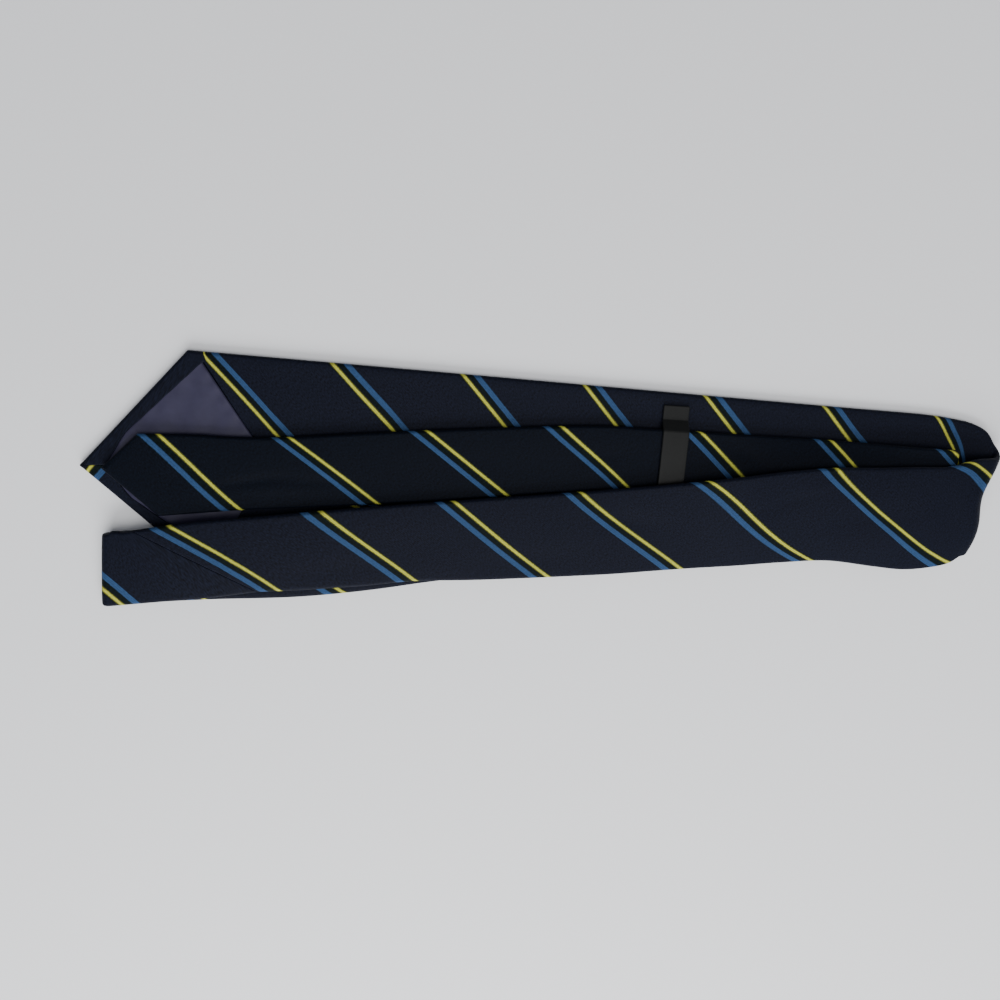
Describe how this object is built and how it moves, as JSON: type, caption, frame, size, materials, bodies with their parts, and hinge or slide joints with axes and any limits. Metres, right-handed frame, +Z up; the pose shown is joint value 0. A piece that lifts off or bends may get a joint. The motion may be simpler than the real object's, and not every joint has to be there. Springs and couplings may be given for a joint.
{
  "type": "silk necktie, folded",
  "caption": "Striped silk necktie folded flat in layers, back of the wide point up, with the narrow end through its keeper loop.",
  "frame": {"origin": "middle of the folded tie's footprint, on the surface it lies on", "axes": "+X along the folded tie from the wide point to the right fold, +Y across it towards the side where the back of the wide blade shows, +Z up"},
  "size_m": [0.3663, 0.0952, 0.012],
  "materials": {
    "navy_silk": "fine twill silk with slanted blue and yellow stripes, soft sheen",
    "tipping_lining": "plain purple grey lining, satin",
    "black_satin": "black woven satin, bare"
  },
  "bodies": {
    "root": {"wide_blade": "navy_silk", "wide_tipping": "tipping_lining", "neck_band": "navy_silk", "narrow_blade": "navy_silk", "keeper_loop": "black_satin"}
  },
  "joints": []
}
